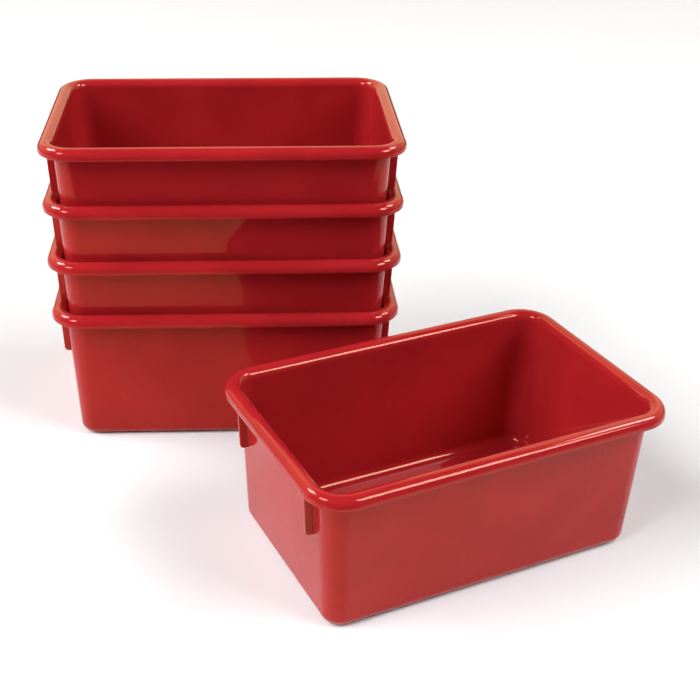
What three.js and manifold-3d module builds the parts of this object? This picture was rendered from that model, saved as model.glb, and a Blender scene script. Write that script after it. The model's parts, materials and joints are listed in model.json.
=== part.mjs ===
// A set of five identical art supply boxes, each one thin-walled moulding with a rolled rim.
// Four are nested in a stack and the fifth stands on the same surface in front of it.
// Millimetres, +Z up. The origin is the centre of the underside of the lowest nested box.
import * as THREE from "three";
import { LoftGeometry } from "three/addons/geometries/LoftGeometry.js";
import { mergeGeometries, mergeVertices } from "three/addons/utils/BufferGeometryUtils.js";
import Module from "manifold-3d";

const wasm = await Module();
wasm.setup();

// Overall size of one box, over its rim
const LENGTH = 310;
const WIDTH = 202;
const HEIGHT = 131;
const WALL = 1.5;

// The walls lean outwards by this much for each millimetre of height
const END_LEAN = 0.048;
const SIDE_LEAN = 0.036;

// The rim: the wall rolls outwards over a half ellipse and hangs down to a rounded lip
const RIM_OVERHANG = 12.5;
const RIM_DEPTH = 9.3;
const ROLL_RISE = 6.8;
const RIM_CORNER_RADIUS = 31;
const ROLL_BASE = HEIGHT - ROLL_RISE;
const ROLL_HALF_WIDTH = (RIM_OVERHANG + WALL) / 2;

// The body below the rim
const BASE_HALF_LENGTH = LENGTH / 2 - RIM_OVERHANG - END_LEAN * ROLL_BASE;
const BASE_HALF_WIDTH = WIDTH / 2 - RIM_OVERHANG - SIDE_LEAN * ROLL_BASE;
const BASE_CORNER_RADIUS = 15.5;
const CORNER_GROWTH = (RIM_CORNER_RADIUS - RIM_OVERHANG - BASE_CORNER_RADIUS) / ROLL_BASE;
const BOTTOM_EDGE_RADIUS = 9;

// Nesting: each box drops into the one below until its fins meet that box's rim
const NEST_PITCH = 51.7;
const NEST_GAP = 0.3;
const NESTED_NAMES = ["bottom_box", "second_box", "third_box", "top_box"];

// Fins: two thin upright plates under the rim at each end
const FIN_REACH = 7.4;
const FIN_THICKNESS = 2.6;
const FIN_OFFSET = 61.5;
const FIN_CORNER_RADIUS = 3;
const FIN_BOTTOM = HEIGHT + NEST_GAP - NEST_PITCH;

// The fifth box, in front of the stack and turned a little
const FRONT_POSITION = [171.5, -227.4, 0];
const FRONT_TURN = THREE.MathUtils.degToRad(22.2);

// Fineness of the faceted surface
const CORNER_STEPS = 5;
const EDGE_STEPS = 3;
const ROLL_STEPS = 8;
const UNDER_ROLL_STEPS = 4;
const LIP_STEPS = 2;

const RED_PLASTIC = 0xa3161c;

// Points of a rounded rectangle, counterclockwise seen from above
function roundedRing(halfLength, halfWidth, radius, z) {
  const points = [];
  for (let corner = 0; corner < 4; corner++) {
    const middle = (corner + 0.5) * Math.PI / 2;
    const centreX = Math.sign(Math.cos(middle)) * (halfLength - radius);
    const centreY = Math.sign(Math.sin(middle)) * (halfWidth - radius);
    for (let step = 0; step <= CORNER_STEPS; step++) {
      const angle = (corner + step / CORNER_STEPS) * Math.PI / 2;
      const x = centreX + radius * Math.cos(angle);
      const y = centreY + radius * Math.sin(angle);
      points.push(new THREE.Vector3(x, y, z));
    }
  }
  return points;
}

// A ring on the leaning wall, a distance in from its outer face
function wallRing(inset, z) {
  return roundedRing(
    BASE_HALF_LENGTH + END_LEAN * z - inset,
    BASE_HALF_WIDTH + SIDE_LEAN * z - inset,
    BASE_CORNER_RADIUS + CORNER_GROWTH * z - inset,
    z,
  );
}

// A ring on the rim, a distance in from its outermost edge
function rimRing(inset, z) {
  return roundedRing(LENGTH / 2 - inset, WIDTH / 2 - inset, RIM_CORNER_RADIUS - inset, z);
}

// Evenly spaced angles from one end to the other, both ends included
function sweep(from, to, steps) {
  return Array.from({ length: steps + 1 }, (_, step) => from + (to - from) * step / steps);
}

// The rounded edge between wall and floor; angle 0 lies on the floor and a right angle on the wall
function floorEdgeRing(angle, skin) {
  const radius = BOTTOM_EDGE_RADIUS - skin;
  return wallRing(skin + radius * (1 - Math.sin(angle)), skin + radius * (1 - Math.cos(angle)));
}

// The half ellipse of the roll; angle 0 lies on the wall's side and a half turn on the outer side
function rollRing(angle, skin) {
  const inset = ROLL_HALF_WIDTH + (ROLL_HALF_WIDTH - skin) * Math.cos(angle);
  return rimRing(inset, ROLL_BASE + (ROLL_RISE - skin) * Math.sin(angle));
}

// The half-round bottom of the rim; angle 0 lies on its inner face
function lipRing(angle) {
  const radius = WALL / 2;
  return rimRing(radius * (1 + Math.cos(angle)), HEIGHT - RIM_DEPTH + radius * (1 - Math.sin(angle)));
}

// One closed skin: up the outside, round the rim and down the inside to the floor
function shellGeometry() {
  const rightAngle = Math.PI / 2;
  const sections = [
    ...sweep(0, rightAngle, EDGE_STEPS).map((angle) => floorEdgeRing(angle, 0)),
    ...sweep(0, Math.PI, UNDER_ROLL_STEPS).map((angle) => rollRing(angle, WALL)),
    ...sweep(0, Math.PI, LIP_STEPS).map((angle) => lipRing(angle)),
    ...sweep(Math.PI, 0, ROLL_STEPS).map((angle) => rollRing(angle, 0)),
    ...sweep(rightAngle, 0, EDGE_STEPS).map((angle) => floorEdgeRing(angle, WALL)),
  ];
  const skin = new LoftGeometry(sections, { capStart: true });
  return mergeGeometries([skin, floorFace(sections.at(-1))]);
}

// The flat face that closes the last ring, looking up into the box
function floorFace(ring) {
  const outline = new THREE.Shape(ring.map(({ x, y }) => new THREE.Vector2(x, y)));
  return new THREE.ShapeGeometry(outline).translate(0, 0, ring[0].z);
}

// A fin's outline in the upright plane: x runs outwards from the box's centre and y runs up.
// It starts inside the wall and ends inside the roll, so that it joins both.
function finShape() {
  const wallFace = (z) => BASE_HALF_LENGTH + END_LEAN * z;
  const tip = (z) => wallFace(z) + FIN_REACH;
  const rollCentre = LENGTH / 2 - ROLL_HALF_WIDTH;
  const rollReach = ROLL_HALF_WIDTH - WALL / 2;
  const rollRise = ROLL_RISE - WALL / 2;
  const tipAngle = Math.acos((tip(ROLL_BASE) - rollCentre) / rollReach);
  const shape = new THREE.Shape();
  shape.moveTo(wallFace(FIN_BOTTOM) - WALL / 2, FIN_BOTTOM);
  shape.lineTo(tip(FIN_BOTTOM) - FIN_CORNER_RADIUS, FIN_BOTTOM);
  shape.quadraticCurveTo(
    tip(FIN_BOTTOM), FIN_BOTTOM,
    tip(FIN_BOTTOM + FIN_CORNER_RADIUS), FIN_BOTTOM + FIN_CORNER_RADIUS,
  );
  shape.lineTo(tip(ROLL_BASE), ROLL_BASE);
  shape.absellipse(rollCentre, ROLL_BASE, rollReach, rollRise, tipAngle, Math.PI, false);
  return shape;
}

// The four fins, two at each end, as solids that reach into the shell
function finGeometries() {
  const fins = [];
  for (const end of [0, Math.PI]) {
    for (const side of [-1, 1]) {
      const fin = new THREE.ExtrudeGeometry(finShape(), {
        depth: FIN_THICKNESS,
        bevelEnabled: false,
        curveSegments: 3,
      });
      fin.rotateX(Math.PI / 2);
      fin.translate(0, side * FIN_OFFSET + FIN_THICKNESS / 2, 0);
      fin.rotateZ(end);
      fins.push(fin);
    }
  }
  return fins;
}

function solidOf(geometry) {
  geometry.deleteAttribute("normal");
  geometry.deleteAttribute("uv");
  const merged = mergeVertices(geometry);
  return new wasm.Manifold(new wasm.Mesh({
    numProp: 3,
    vertProperties: new Float32Array(merged.attributes.position.array),
    triVerts: new Uint32Array(merged.index.array),
  }));
}

function geometryOf(solid) {
  const mesh = solid.getMesh();
  const geometry = new THREE.BufferGeometry();
  geometry.setAttribute("position", new THREE.BufferAttribute(mesh.vertProperties, 3));
  geometry.setIndex(new THREE.BufferAttribute(mesh.triVerts, 1));
  geometry.computeVertexNormals();
  return geometry;
}

function boxGeometry() {
  const shell = solidOf(shellGeometry());
  const moulding = finGeometries().reduce((body, fin) => body.add(solidOf(fin)), shell);
  return geometryOf(moulding);
}

function supplyBox(name, geometry) {
  const material = new THREE.MeshStandardMaterial({ color: RED_PLASTIC, roughness: 0.2, metalness: 0 });
  const box = new THREE.Mesh(geometry, material);
  box.name = name;
  return box;
}

function nestedStack(geometry) {
  const stack = new THREE.Group();
  NESTED_NAMES.forEach((name, level) => {
    const box = supplyBox(name, geometry);
    box.position.z = level * NEST_PITCH;
    stack.add(box);
  });
  return stack;
}

function frontBox(geometry) {
  const box = supplyBox("front_box", geometry);
  box.position.set(...FRONT_POSITION);
  box.rotation.z = FRONT_TURN;
  return box;
}

const moulding = boxGeometry();
const group = new THREE.Group();
group.add(nestedStack(moulding), frontBox(moulding));

export default group;
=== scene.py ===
"""Five glossy red art supply boxes: four nested in a stack and one in front of them, turned a little.

Every box is the same moulding, drawn here more finely than in the CAD model, in metres.
"""

import json
import math

import bmesh
import bpy
from mathutils import Matrix, Vector


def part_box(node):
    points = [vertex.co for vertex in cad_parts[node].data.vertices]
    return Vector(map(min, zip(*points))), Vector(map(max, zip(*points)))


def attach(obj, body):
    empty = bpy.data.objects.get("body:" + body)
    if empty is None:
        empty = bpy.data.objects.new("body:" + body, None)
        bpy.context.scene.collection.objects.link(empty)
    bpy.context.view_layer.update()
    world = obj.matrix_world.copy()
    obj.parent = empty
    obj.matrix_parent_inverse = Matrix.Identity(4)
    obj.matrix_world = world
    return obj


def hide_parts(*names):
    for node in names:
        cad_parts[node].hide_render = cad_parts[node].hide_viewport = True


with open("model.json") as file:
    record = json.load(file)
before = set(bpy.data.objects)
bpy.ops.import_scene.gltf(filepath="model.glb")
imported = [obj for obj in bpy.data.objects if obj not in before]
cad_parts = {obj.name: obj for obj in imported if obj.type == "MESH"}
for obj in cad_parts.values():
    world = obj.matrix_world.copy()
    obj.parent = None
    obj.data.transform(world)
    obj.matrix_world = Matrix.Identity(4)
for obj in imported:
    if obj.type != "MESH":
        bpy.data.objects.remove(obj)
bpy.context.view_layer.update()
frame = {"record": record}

MM = 0.001

# One box, in millimetres, as in the CAD model
LENGTH = 310.0
WIDTH = 202.0
HEIGHT = 131.0
WALL = 1.5
END_LEAN = 0.048
SIDE_LEAN = 0.036
RIM_OVERHANG = 12.5
RIM_DEPTH = 9.3
ROLL_RISE = 6.8
ROLL_BASE = HEIGHT - ROLL_RISE
ROLL_HALF_WIDTH = (RIM_OVERHANG + WALL) / 2
RIM_CORNER_RADIUS = 31.0
BASE_CORNER_RADIUS = 15.5
BOTTOM_EDGE_RADIUS = 9.0
BASE_HALF_LENGTH = LENGTH / 2 - RIM_OVERHANG - END_LEAN * ROLL_BASE
BASE_HALF_WIDTH = WIDTH / 2 - RIM_OVERHANG - SIDE_LEAN * ROLL_BASE
CORNER_GROWTH = (RIM_CORNER_RADIUS - RIM_OVERHANG - BASE_CORNER_RADIUS) / ROLL_BASE

# The CAD model's corners are faceted, so the smooth ones are drawn this much smaller to stay inside it,
# and the crest of the rim is held a hair lower
TRIM = 0.1
CREST_LIMIT = HEIGHT - 0.01

# Two fins stand under the rim at each end, each a rounded plate with a fillet where it meets the wall.
# Its root reaches a little into the wall.
FIN_REACH = 7.4
FIN_HALF_THICKNESS = 1.3
FIN_OFFSET = 61.5
FIN_BOTTOM = 79.6
FIN_CORNER_RADIUS = 3.0
FIN_EDGE_RADIUS = 0.6
FIN_FILLET = 1.0
FIN_ROOT = 0.7
FIN_TOP_ANGLE = math.radians(75)

# Fineness of the surface, in steps round each curve, and how far beside a curve its extra ring lies
CORNER_STEPS = 16
EDGE_STEPS = 8
ROLL_STEPS = 24
UNDER_ROLL_STEPS = 12
LIP_STEPS = 6
FILLET_STEPS = 5
FIN_EDGE_STEPS = 4
FIN_CORNER_STEPS = 6
FIN_TOP_STEPS = 5
SUPPORT = 1.2

NESTED_BOXES = ["bottom_box", "second_box", "third_box", "top_box"]
FRONT_BOX = "front_box"
FRONT_TURN = math.radians(22.2)


def sweep(start, end, steps):
    """Evenly spaced values from start to end, both included."""
    return [start + (end - start) * step / steps for step in range(steps + 1)]


def rounded_ring(half_length, half_width, radius, z):
    """Points round a rounded rectangle, with an extra point on each straight beside every corner.
    The extra points keep the flat walls flat when the corners are shaded smoothly."""
    points = []
    for corner in range(4):
        middle = (corner + 0.5) * math.pi / 2
        centre = Vector((
            math.copysign(half_length - TRIM - radius, math.cos(middle)),
            math.copysign(half_width - TRIM - radius, math.sin(middle)),
            z,
        ))
        angles = sweep(corner * math.pi / 2, (corner + 1) * math.pi / 2, CORNER_STEPS)
        arc = [centre + radius * Vector((math.cos(a), math.sin(a), 0)) for a in angles]
        before = Vector((math.sin(angles[0]), -math.cos(angles[0]), 0)) * SUPPORT
        after = Vector((-math.sin(angles[-1]), math.cos(angles[-1]), 0)) * SUPPORT
        points += [arc[0] + before] + arc + [arc[-1] + after]
    return points


def wall_ring(inset, z):
    """A ring on the leaning wall, a distance in from its outer face."""
    return rounded_ring(
        BASE_HALF_LENGTH + END_LEAN * z - inset,
        BASE_HALF_WIDTH + SIDE_LEAN * z - inset,
        BASE_CORNER_RADIUS + CORNER_GROWTH * z - inset,
        z,
    )


def rim_ring(inset, z):
    """A ring on the rim, a distance in from its outermost edge, kept just under the CAD model's top."""
    height = min(z, CREST_LIMIT)
    return rounded_ring(LENGTH / 2 - inset, WIDTH / 2 - inset, RIM_CORNER_RADIUS - inset, height)


def floor_edge_ring(angle, skin):
    """The rounded edge between floor and wall: angle 0 lies on the floor, a right angle on the wall."""
    radius = BOTTOM_EDGE_RADIUS - skin
    return wall_ring(skin + radius * (1 - math.sin(angle)), skin + radius * (1 - math.cos(angle)))


def roll_ring(angle, skin):
    """The half ellipse of the rim: angle 0 lies on the wall's side, a half turn on the outer side."""
    inset = ROLL_HALF_WIDTH + (ROLL_HALF_WIDTH - skin) * math.cos(angle)
    return rim_ring(inset, ROLL_BASE + (ROLL_RISE - skin) * math.sin(angle))


def lip_ring(angle):
    """The half-round bottom of the rim: angle 0 lies on its inner face."""
    radius = WALL / 2
    return rim_ring(radius * (1 + math.cos(angle)), HEIGHT - RIM_DEPTH + radius * (1 - math.sin(angle)))


def shell_rings():
    """Every ring of the closed skin: up the outside, round the rim and down the inside to the floor."""
    right_angle = math.pi / 2
    return (
        [wall_ring(BOTTOM_EDGE_RADIUS + SUPPORT, 0)]
        + [floor_edge_ring(angle, 0) for angle in sweep(0, right_angle, EDGE_STEPS)]
        + [wall_ring(0, BOTTOM_EDGE_RADIUS + SUPPORT), wall_ring(0, ROLL_BASE - SUPPORT)]
        + [roll_ring(angle, WALL) for angle in sweep(0, math.pi, UNDER_ROLL_STEPS)]
        + [lip_ring(angle) for angle in sweep(0, math.pi, LIP_STEPS)]
        + [roll_ring(angle, 0) for angle in sweep(math.pi, 0, ROLL_STEPS)]
        + [wall_ring(WALL, ROLL_BASE - SUPPORT), wall_ring(WALL, BOTTOM_EDGE_RADIUS + SUPPORT)]
        + [floor_edge_ring(angle, WALL) for angle in sweep(right_angle, 0, EDGE_STEPS)]
        + [wall_ring(BOTTOM_EDGE_RADIUS + SUPPORT, WALL)]
    )


def loft(mesh, rings, wear=()):
    """Joins the rings into one closed skin with a flat face at each end.
    The wear says how rubbed the first rings are, from 0 to 1, and is stored on their points."""
    rubbed = mesh.verts.layers.float.get("rubbed") or mesh.verts.layers.float.new("rubbed")
    loops = [[mesh.verts.new(point * MM) for point in ring] for ring in rings]
    for loop, share in zip(loops, wear):
        for vertex in loop:
            vertex[rubbed] = share
    for lower, upper in zip(loops, loops[1:]):
        for index in range(len(lower)):
            following = (index + 1) % len(lower)
            mesh.faces.new((lower[index], lower[following], upper[following], upper[index]))
    mesh.faces.new(list(reversed(loops[0])))
    mesh.faces.new(loops[-1])


def fin_outline(near, far, z):
    """Points round a fin at one height: x runs out from the wall, with a fillet at the root."""
    side = [Vector((near, FIN_HALF_THICKNESS + FIN_FILLET, z))]
    for angle in sweep(0, math.pi / 2, FILLET_STEPS):
        out = FIN_FILLET * (1 - math.cos(angle))
        along = FIN_HALF_THICKNESS + FIN_FILLET * (1 - math.sin(angle))
        side.append(Vector((near + FIN_ROOT + out, along, z)))
    for angle in sweep(math.pi / 2, 0, FIN_EDGE_STEPS):
        out = far - FIN_EDGE_RADIUS * (1 - math.cos(angle))
        along = FIN_HALF_THICKNESS - FIN_EDGE_RADIUS * (1 - math.sin(angle))
        side.append(Vector((out, along, z)))
    return side + [Vector((point.x, -point.y, z)) for point in reversed(side)]


def fin_wall(z):
    """How far the end wall stands from the box's centre at one height."""
    return BASE_HALF_LENGTH + END_LEAN * z - TRIM


def fin_rings(end, side):
    """A fin from its rounded bottom corner up into the hollow of the rim, at one end and side."""
    roll_centre = LENGTH / 2 - ROLL_HALF_WIDTH
    roll_reach = ROLL_HALF_WIDTH - WALL / 2
    roll_rise = ROLL_RISE - WALL / 2
    outlines = []
    for angle in sweep(0, math.pi / 2, FIN_CORNER_STEPS):
        z = FIN_BOTTOM + FIN_CORNER_RADIUS * (1 - math.cos(angle))
        tip = fin_wall(z) + FIN_REACH - FIN_CORNER_RADIUS * (1 - math.sin(angle))
        outlines.append(fin_outline(fin_wall(z) - FIN_ROOT, tip, z))
    wall = fin_wall(ROLL_BASE)
    outlines.append(fin_outline(wall - FIN_ROOT, wall + FIN_REACH, ROLL_BASE))
    for angle in sweep(0, FIN_TOP_ANGLE, FIN_TOP_STEPS)[1:]:
        z = ROLL_BASE + roll_rise * math.sin(angle)
        near = max(fin_wall(z) - FIN_ROOT, roll_centre - roll_reach * math.cos(angle))
        far = min(fin_wall(z) + FIN_REACH, roll_centre + roll_reach * math.cos(angle))
        outlines.append(fin_outline(near, far, z))
    place = Matrix.Rotation(end, 4, "Z") @ Matrix.Translation((0, side * FIN_OFFSET, 0))
    return [[place @ point for point in outline] for outline in outlines]


def box_mesh():
    """One moulding: the rolled-rim shell and its four fins."""
    mesh = bmesh.new()
    bottom_edge_wear = [1.0] + sweep(1.0, 0.0, EDGE_STEPS)
    loft(mesh, shell_rings(), bottom_edge_wear)
    for end in (0, math.pi):
        for side in (-1, 1):
            loft(mesh, fin_rings(end, side))
    bmesh.ops.recalc_face_normals(mesh, faces=mesh.faces)
    data = bpy.data.meshes.new("supply_box")
    mesh.to_mesh(data)
    mesh.free()
    data.shade_smooth()
    return data


# The plastic: a deep red body under a skin whose mirror images are tinted red
DARK_RED = (0.335, 0.0118, 0.0150, 1)
LIGHT_RED = (0.385, 0.0146, 0.0178, 1)
RUBBED_RED = (0.47, 0.060, 0.058, 1)
MIRROR_TINT = (1.0, 0.32, 0.12, 1)
PLASTIC_IOR = 1.5
POLISH = (0.03, 0.06)
SCUFFED_ROUGHNESS = 0.26
WORN_PALENESS = 0.3
DUST_SHARE = 0.07

# How high the relief of the surface is, in metres
WAVE_HEIGHT = 0.00016
FLOW_MARK_HEIGHT = 0.000003
ORANGE_PEEL_HEIGHT = 0.0000015
SCRATCH_DEPTH = 0.00001

# Long thin patterns: how each is turned, and how often it changes along each of its axes
FLOW_MARKS = ((0, 0, 0), (150, 150, 9))
SCRATCHES_ONE_WAY = ((0.2, 0.1, 0.5), (1500, 30, 60))
SCRATCHES_OTHER_WAY = ((0.1, 0.4, 2.0), (1300, 45, 50))


def node(tree, kind, **settings):
    """A new node, with its settings and its unlinked inputs filled in by name."""
    made = tree.nodes.new(kind)
    for name, value in settings.items():
        if hasattr(made, name):
            setattr(made, name, value)
        else:
            made.inputs[name.replace("_", " ").title()].default_value = value
    return made


def noise(tree, place, **settings):
    """A noise pattern over the given place, as a value between about 0 and 1."""
    made = node(tree, "ShaderNodeTexNoise", **settings)
    tree.links.new(place, made.inputs["Vector"])
    return made.outputs["Fac"]


def stretched(tree, place, turn, scale):
    """The same place turned and stretched, for long thin patterns."""
    made = node(tree, "ShaderNodeMapping", rotation=turn, scale=scale)
    tree.links.new(place, made.inputs["Vector"])
    return made.outputs["Vector"]


def remap(tree, value, start, end, low, high):
    """The value carried smoothly from the range start to end over to low to high."""
    made = node(tree, "ShaderNodeMapRange", interpolation_type="SMOOTHSTEP")
    made.inputs["From Min"].default_value = start
    made.inputs["From Max"].default_value = end
    made.inputs["To Min"].default_value = low
    made.inputs["To Max"].default_value = high
    tree.links.new(value, made.inputs["Value"])
    return made.outputs["Result"]


def calculate(tree, operation, first, second):
    """One sum, product or other calculation on two values."""
    made = node(tree, "ShaderNodeMath", operation=operation)
    for socket, value in zip(made.inputs, (first, second)):
        if isinstance(value, float):
            socket.default_value = value
        else:
            tree.links.new(value, socket)
    return made.outputs["Value"]


def blend_colour(tree, share, first, second):
    """From the first colour to the second; either may be a fixed colour or another node's."""
    made = node(tree, "ShaderNodeMix", data_type="RGBA")
    tree.links.new(share, made.inputs["Factor"])
    for socket, colour in ((made.inputs[6], first), (made.inputs[7], second)):
        if isinstance(colour, tuple):
            socket.default_value = colour
        else:
            tree.links.new(colour, socket)
    return made.outputs[2]


def raised(tree, height, distance, under=None):
    """A surface raised by the height pattern times the distance in metres, over the one under it."""
    made = node(tree, "ShaderNodeBump")
    made.inputs["Distance"].default_value = distance
    tree.links.new(height, made.inputs["Height"])
    if under is not None:
        tree.links.new(under, made.inputs["Normal"])
    return made.outputs["Normal"]


def scratches(tree, place):
    """Sparse fine scratches running two ways, only in some patches; 1 on a scratch and 0 elsewhere."""
    one_way = noise(tree, stretched(tree, place, *SCRATCHES_ONE_WAY), scale=1.0, detail=1.0)
    other_way = noise(tree, stretched(tree, place, *SCRATCHES_OTHER_WAY), scale=1.0, detail=1.0)
    lines = remap(tree, calculate(tree, "MAXIMUM", one_way, other_way), 0.70, 0.78, 0.0, 1.0)
    patches = remap(tree, noise(tree, place, scale=17.0, detail=2.0), 0.50, 0.66, 0.0, 1.0)
    return calculate(tree, "MULTIPLY", lines, patches)


def rubbed_edges(tree, place):
    """The worn edges, from the mesh, broken up by noise."""
    worn = node(tree, "ShaderNodeAttribute", attribute_name="rubbed").outputs["Fac"]
    ragged = remap(tree, noise(tree, place, scale=240.0, detail=4.0), 0.42, 0.68, 0.0, 1.0)
    return calculate(tree, "MULTIPLY", worn, ragged)


def dust(tree, place):
    """Tiny pale specks, far apart."""
    made = node(tree, "ShaderNodeTexVoronoi", scale=170.0)
    tree.links.new(place, made.inputs["Vector"])
    speck = remap(tree, made.outputs["Distance"], 0.05, 0.10, 1.0, 0.0)
    pick = node(tree, "ShaderNodeSeparateColor")
    tree.links.new(made.outputs["Color"], pick.inputs["Color"])
    chosen = calculate(tree, "GREATER_THAN", pick.outputs["Red"], 1 - DUST_SHARE)
    return calculate(tree, "MULTIPLY", speck, chosen)


def moulded_plastic():
    """Glossy moulded red plastic: cloudy colour, flow marks, slight waves, orange peel and light wear."""
    material = bpy.data.materials.new("moulded_plastic")
    material.use_nodes = True
    tree = material.node_tree
    shader = tree.nodes["Principled BSDF"]
    place = node(tree, "ShaderNodeTexCoord").outputs["Object"]

    clouds = remap(tree, noise(tree, place, scale=13.0, detail=4.0, distortion=0.8), 0.3, 0.7, 0.0, 1.0)
    flow = noise(tree, stretched(tree, place, *FLOW_MARKS), scale=1.0, detail=3.0, distortion=0.4)
    scratched = scratches(tree, place)
    rubbed = rubbed_edges(tree, place)
    worn = calculate(tree, "MAXIMUM", rubbed, calculate(tree, "MAXIMUM", scratched, dust(tree, place)))

    body = blend_colour(tree, clouds, DARK_RED, LIGHT_RED)
    pale = calculate(tree, "MULTIPLY", worn, WORN_PALENESS)
    tree.links.new(blend_colour(tree, pale, body, RUBBED_RED), shader.inputs["Base Color"])

    polish = remap(tree, flow, 0.3, 0.7, *POLISH)
    gain = calculate(tree, "MULTIPLY", worn, SCUFFED_ROUGHNESS)
    tree.links.new(calculate(tree, "ADD", polish, gain), shader.inputs["Roughness"])

    waves = raised(tree, noise(tree, place, scale=10.0, detail=1.0), WAVE_HEIGHT)
    flow_marks = raised(tree, flow, FLOW_MARK_HEIGHT, waves)
    peel = raised(tree, noise(tree, place, scale=620.0, detail=2.0), ORANGE_PEEL_HEIGHT, flow_marks)
    tree.links.new(raised(tree, scratched, -SCRATCH_DEPTH, peel), shader.inputs["Normal"])

    shader.inputs["IOR"].default_value = PLASTIC_IOR
    shader.inputs["Specular Tint"].default_value = MIRROR_TINT
    return material


def add_box(name, material, place):
    """One box in its place, standing for the CAD node of the same name."""
    box = bpy.data.objects.new(name + "_moulding", box_mesh())
    box.data.transform(place)
    box.data.materials.append(material)
    bpy.context.scene.collection.objects.link(box)
    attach(box, name)
    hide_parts(name)


def add_boxes():
    """The nested stack, and the loose box on its mount."""
    material = moulded_plastic()
    for name in NESTED_BOXES:
        low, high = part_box(name)
        centre = (low + high) / 2
        add_box(name, material, Matrix.Translation((centre.x, centre.y, low.z)))
    mounts = {mount["name"]: mount for mount in frame["record"]["mounts"]}
    place = Matrix.Translation(mounts["front_base"]["pos_m"]) @ Matrix.Rotation(FRONT_TURN, 4, "Z")
    add_box(FRONT_BOX, material, place)


# The pale floor reaches this far, in metres. The part in front of the edge isn't mirrored in the boxes:
# in the photograph the top box's wall mirrors a dark room there.
FLOOR_REACH = 2.6
MIRRORED_FLOOR_EDGE = -0.55
FLOOR_GREYS = ((0.79, 0.79, 0.79, 1), (0.81, 0.81, 0.81, 1))
BACKGROUND_STRENGTH = 0.95


def pale_floor():
    """Matt off-white paint with a trace of unevenness."""
    material = bpy.data.materials.new("pale_floor")
    material.use_nodes = True
    tree = material.node_tree
    shader = tree.nodes["Principled BSDF"]
    place = node(tree, "ShaderNodeTexCoord").outputs["Object"]
    uneven = noise(tree, place, scale=3.0, detail=3.0)
    tree.links.new(blend_colour(tree, uneven, *FLOOR_GREYS), shader.inputs["Base Color"])
    shader.inputs["Roughness"].default_value = 0.7
    shader.inputs["Specular IOR Level"].default_value = 0.2
    return material


def add_floor_part(name, material, near, far):
    """A flat piece of floor from one distance to another, measured towards the back."""
    mesh = bmesh.new()
    corners = ((-FLOOR_REACH, near), (FLOOR_REACH, near), (FLOOR_REACH, far), (-FLOOR_REACH, far))
    mesh.faces.new([mesh.verts.new((x, y, 0)) for x, y in corners])
    data = bpy.data.meshes.new(name)
    mesh.to_mesh(data)
    mesh.free()
    data.materials.append(material)
    floor = bpy.data.objects.new(name, data)
    bpy.context.scene.collection.objects.link(floor)
    return floor


def add_floor():
    """The floor under and behind the boxes, and the part in front that isn't mirrored in them."""
    material = pale_floor()
    add_floor_part("studio_floor", material, MIRRORED_FLOOR_EDGE, FLOOR_REACH)
    front = add_floor_part("studio_floor_front", material, -FLOOR_REACH, MIRRORED_FLOOR_EDGE)
    front.visible_glossy = False


def add_world():
    """A plain pale background that is seen but gives no light."""
    world = bpy.data.worlds.new("studio")
    world.use_nodes = True
    background = world.node_tree.nodes["Background"]
    background.inputs["Color"].default_value = (1, 1, 1, 1)
    background.inputs["Strength"].default_value = BACKGROUND_STRENGTH
    bpy.context.scene.world = world
    world.cycles_visibility.diffuse = False
    world.cycles_visibility.glossy = False


# Lamps: the side they stand on, in degrees round the boxes from the front, their height in degrees,
# their brightness and their size as a share of their distance. The softboxes only light the scene.
SOFTBOXES = {
    "right_softbox": (74, 43, 6.9, (0.8, 0.6)),
    "left_softbox": (283, 41, 7.4, (1.05, 0.7)),
}
# The room's walls and the lamps' bright middles are only seen mirrored in the plastic
PALE_WALLS = {
    "right_wall": (118, 32, 1.4, (1.2, 0.95)),
    "back_wall": (180, 32, 1.4, (1.2, 0.95)),
    "left_wall": (242, 32, 1.4, (1.2, 0.95)),
}
GLINTS = {
    "right_front_glint": (57, 43, 45.0, (0.32, 0.32)),
    "right_back_glint": (100, 48, 42.0, (0.26, 0.26)),
    "left_back_glint": (250, 47, 48.0, (0.3, 0.3)),
    "left_front_glint": (305, 45, 48.0, (0.26, 0.26)),
}
GLINT_COLOUR = (0.35, 0.66, 1.1)
WALL_COLOUR = (1.0, 0.8, 0.5)
LAMP_DISTANCE = 5.0
STUDIO_CENTRE = Vector((0.08, -0.12, 0.1))


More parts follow.
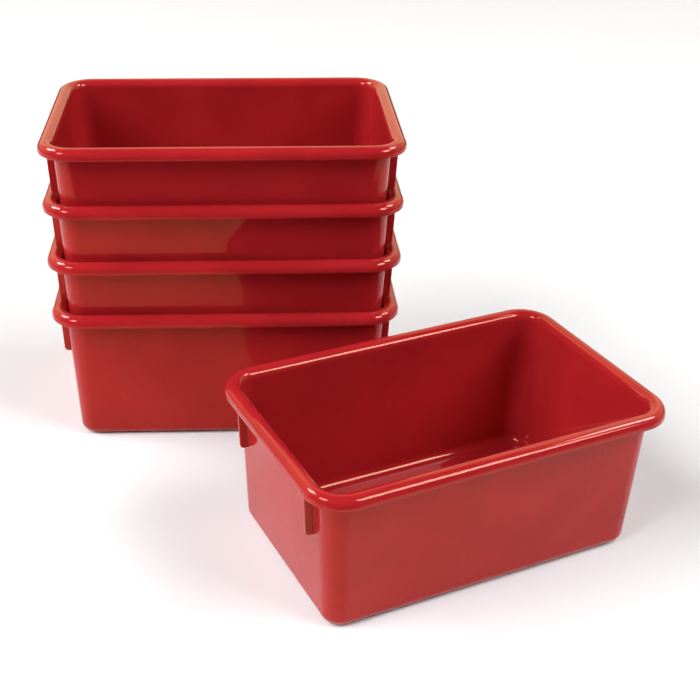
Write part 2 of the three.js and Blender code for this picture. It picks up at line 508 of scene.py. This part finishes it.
def add_lamp(name, azimuth, elevation, brightness, spread):
    """A flat rectangular lamp that faces the boxes."""
    light = bpy.data.lights.new(name, "AREA")
    light.shape = "RECTANGLE"
    light.size = spread[0] * LAMP_DISTANCE
    light.size_y = spread[1] * LAMP_DISTANCE
    light.energy = math.pi * light.size * light.size_y * brightness
    side, height = math.radians(azimuth), math.radians(elevation)
    outwards = Vector((
        math.sin(side) * math.cos(height),
        -math.cos(side) * math.cos(height),
        math.sin(height),
    ))
    lamp = bpy.data.objects.new(name, light)
    aim = (-outwards).to_track_quat("-Z", "Y").to_matrix().to_4x4()
    lamp.matrix_world = Matrix.Translation(STUDIO_CENTRE + outwards * LAMP_DISTANCE) @ aim
    bpy.context.scene.collection.objects.link(lamp)
    return lamp


def add_mirrored_lamps(lamps, colour):
    """Lamps of one colour that light nothing and are only seen mirrored."""
    for name, settings in lamps.items():
        lamp = add_lamp(name, *settings)
        lamp.data.color = colour
        lamp.visible_diffuse = False


def add_lamps():
    """The whole studio light."""
    for name, settings in SOFTBOXES.items():
        add_lamp(name, *settings).visible_glossy = False
    add_mirrored_lamps(PALE_WALLS, WALL_COLOUR)
    add_mirrored_lamps(GLINTS, GLINT_COLOUR)


# The camera's place in metres, its turn to the right, how far it looks down and its roll in radians,
# its lens in millimetres and the shift of the photograph's frame
CAMERA_PLACE = (0.0151, -1.0642, 0.6441)
CAMERA_TURN = 0.0408
CAMERA_DROP = 0.4878
CAMERA_ROLL = 0.0069
CAMERA_LENS = 64.246
CAMERA_SHIFT = (0.08858, -0.04873)


def add_camera():
    """A camera at the photograph's viewing angle."""
    lens = bpy.data.cameras.new("camera")
    lens.lens = CAMERA_LENS
    lens.shift_x = CAMERA_SHIFT[0]
    lens.shift_y = CAMERA_SHIFT[1]
    camera = bpy.data.objects.new("camera", lens)
    turn = Matrix.Rotation(-CAMERA_TURN, 4, "Z")
    drop = Matrix.Rotation(math.pi / 2 - CAMERA_DROP, 4, "X")
    roll = Matrix.Rotation(CAMERA_ROLL, 4, "Z")
    camera.matrix_world = Matrix.Translation(CAMERA_PLACE) @ turn @ drop @ roll
    bpy.context.scene.collection.objects.link(camera)
    bpy.context.scene.camera = camera


add_boxes()
add_floor()
add_world()
add_lamps()
add_camera()
bpy.context.scene.view_settings.view_transform = "Standard"
